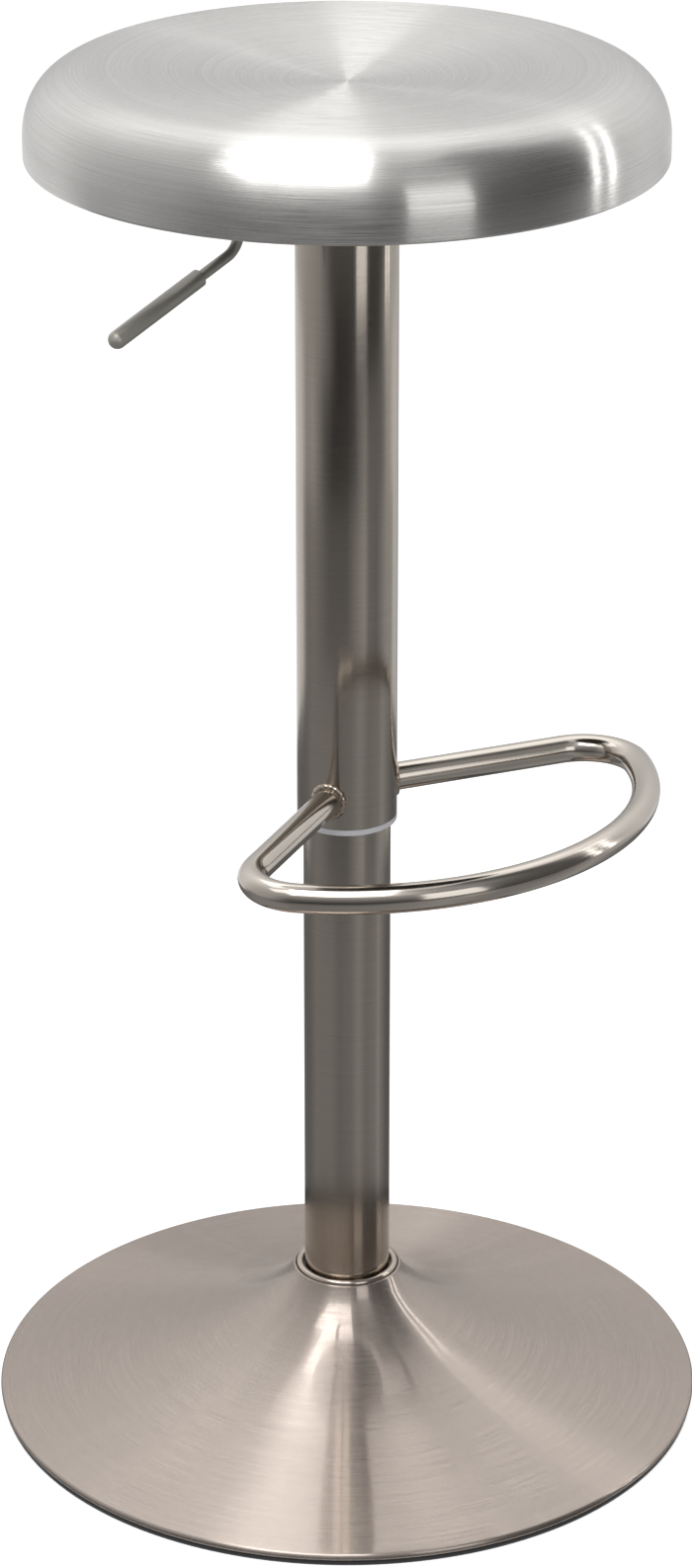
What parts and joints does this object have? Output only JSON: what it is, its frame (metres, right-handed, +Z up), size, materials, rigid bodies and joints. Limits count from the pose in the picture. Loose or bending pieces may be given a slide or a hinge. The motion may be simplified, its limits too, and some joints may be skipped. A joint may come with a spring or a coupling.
{
  "type": "bar stool",
  "caption": "Round-seated bar stool on a trumpet foot: the seat and footrest swivel and slide on a gas lift worked by a side lever.",
  "frame": {"origin": "on the floor, on the column's axis, at the middle of the foot", "axes": "+Z up along the column; -Y is where the footrest and the sitter's front point; -X is the lever's side, the sitter's right"},
  "size_m": [0.415, 0.415, 0.806],
  "materials": {
    "seat_steel": "circular brushed stainless steel",
    "tube_steel": "fine brushed stainless tube",
    "footrest_steel": "satin polished tube",
    "foot_steel": "circular brushed stainless steel",
    "polished_wire": "polished",
    "lever_steel": "dark plated, smooth",
    "white_plastic": "milky, slightly translucent",
    "black_rubber": "matte",
    "bracket_steel": "black powder coat",
    "zinc_steel": "zinc plated",
    "raw_steel": "mill finish",
    "bearing_steel": "ground",
    "cylinder_paint": "black paint",
    "gland_plastic": "matte",
    "cage_plastic": "matte",
    "brass": "machined",
    "plywood": "black stained plywood",
    "seat_foam": "rigid foam"
  },
  "bodies": {
    "foot": {"floor_ring": "black_rubber", "base_plate": "raw_steel", "base_shell": "foot_steel", "base_socket": "raw_steel", "trim_ring": "polished_wire", "column_tube": "tube_steel", "column_foot": "raw_steel", "guide_sleeve": "white_plastic", "lower_race": "bearing_steel"},
    "gas_rod": {"piston_rod": "bearing_steel", "piston": "brass", "piston_seal": "black_rubber", "bump_stop": "black_rubber", "upper_race": "bearing_steel", "retaining_washer": "zinc_steel", "rod_clip": "zinc_steel"},
    "cage": {"ball_cage": "cage_plastic", "bearing_balls": "bearing_steel"},
    "carriage": {"gas_cylinder": "cylinder_paint", "cylinder_gland": "gland_plastic", "valve_body": "brass", "taper_socket": "raw_steel", "tube_head": "raw_steel", "outer_tube": "tube_steel", "tube_bush": "white_plastic", "footrest": "footrest_steel", "footrest_welds": "footrest_steel", "seat_bracket": "bracket_steel", "lever_yoke": "bracket_steel", "lever_pin": "zinc_steel", "seat_board": "plywood", "seat_filler": "seat_foam", "seat_shell": "seat_steel", "seat_bolts": "zinc_steel", "bolt_washers": "zinc_steel", "tee_nuts": "zinc_steel"},
    "lever": {"lever_rod": "lever_steel", "lever_grip": "lever_steel"},
    "button": {"release_pin": "bearing_steel"}
  },
  "joints": [
    {"name": "swivel", "type": "hinge", "parent": "foot", "child": "gas_rod", "pos_m": [0, 0, 0.02], "axis": [0, 0, 1], "continuous": true},
    {"name": "cage_roll", "type": "hinge", "parent": "foot", "child": "cage", "pos_m": [0, 0, 0.02], "axis": [0, 0, 1], "continuous": true},
    {"name": "lift", "type": "slide", "parent": "gas_rod", "child": "carriage", "axis": [0, 0, 1], "range_m": [-0.21, 0]},
    {"name": "lever_tilt", "type": "hinge", "parent": "carriage", "child": "lever", "pos_m": [-0.026, 0, 0.742], "axis": [0, 1, 0], "range_deg": [0, 7], "stiffness_Nm_per_rad": 6, "springref_deg": -5.73},
    {"name": "pin_press", "type": "slide", "parent": "carriage", "child": "button", "axis": [0, 0, -1], "range_m": [0, 0.0035]}
  ],
  "couplings": [
    {"joint": "cage_roll", "follows": "swivel", "ratio": 0.5},
    {"joint": "pin_press", "follows": "lever_tilt", "m_per_rad": 0.026}
  ]
}
